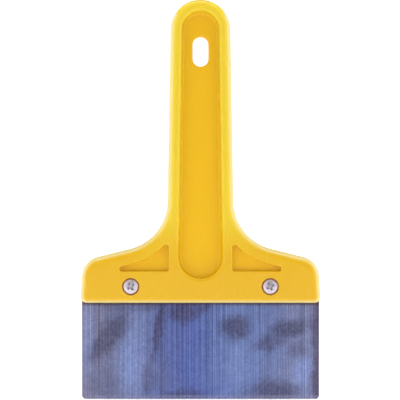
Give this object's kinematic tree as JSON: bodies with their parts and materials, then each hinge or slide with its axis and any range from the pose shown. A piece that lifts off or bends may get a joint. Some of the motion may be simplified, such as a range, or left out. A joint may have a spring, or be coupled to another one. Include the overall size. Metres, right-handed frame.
{
  "type": "filling knife",
  "caption": "Painter's wide filling knife: straight blued spring steel blade clamped by screws in a T-shaped yellow plastic handle with recessed grip and hang slot.",
  "frame": {"origin": "on the blade's working edge, below the middle of the handle and in the middle of the blade's thickness; the bottom centre of the bounding box", "axes": "+Z from the working edge up the handle; +X to the right along the blade, seen from the front; -Y out of the front face, which has the screw heads"},
  "size_m": [0.1262, 0.017, 0.2101],
  "materials": {
    "yellow_plastic": "glossy, injection moulded",
    "blued_steel": "tempered blue, brushed lengthways",
    "plated_steel": "bright zinc plated"
  },
  "bodies": {
    "root": {"handle": "yellow_plastic", "clamp_plate": "yellow_plastic", "blade": "blued_steel", "screw_left": "plated_steel", "screw_right": "plated_steel", "nut_left": "plated_steel", "nut_right": "plated_steel"}
  },
  "joints": []
}
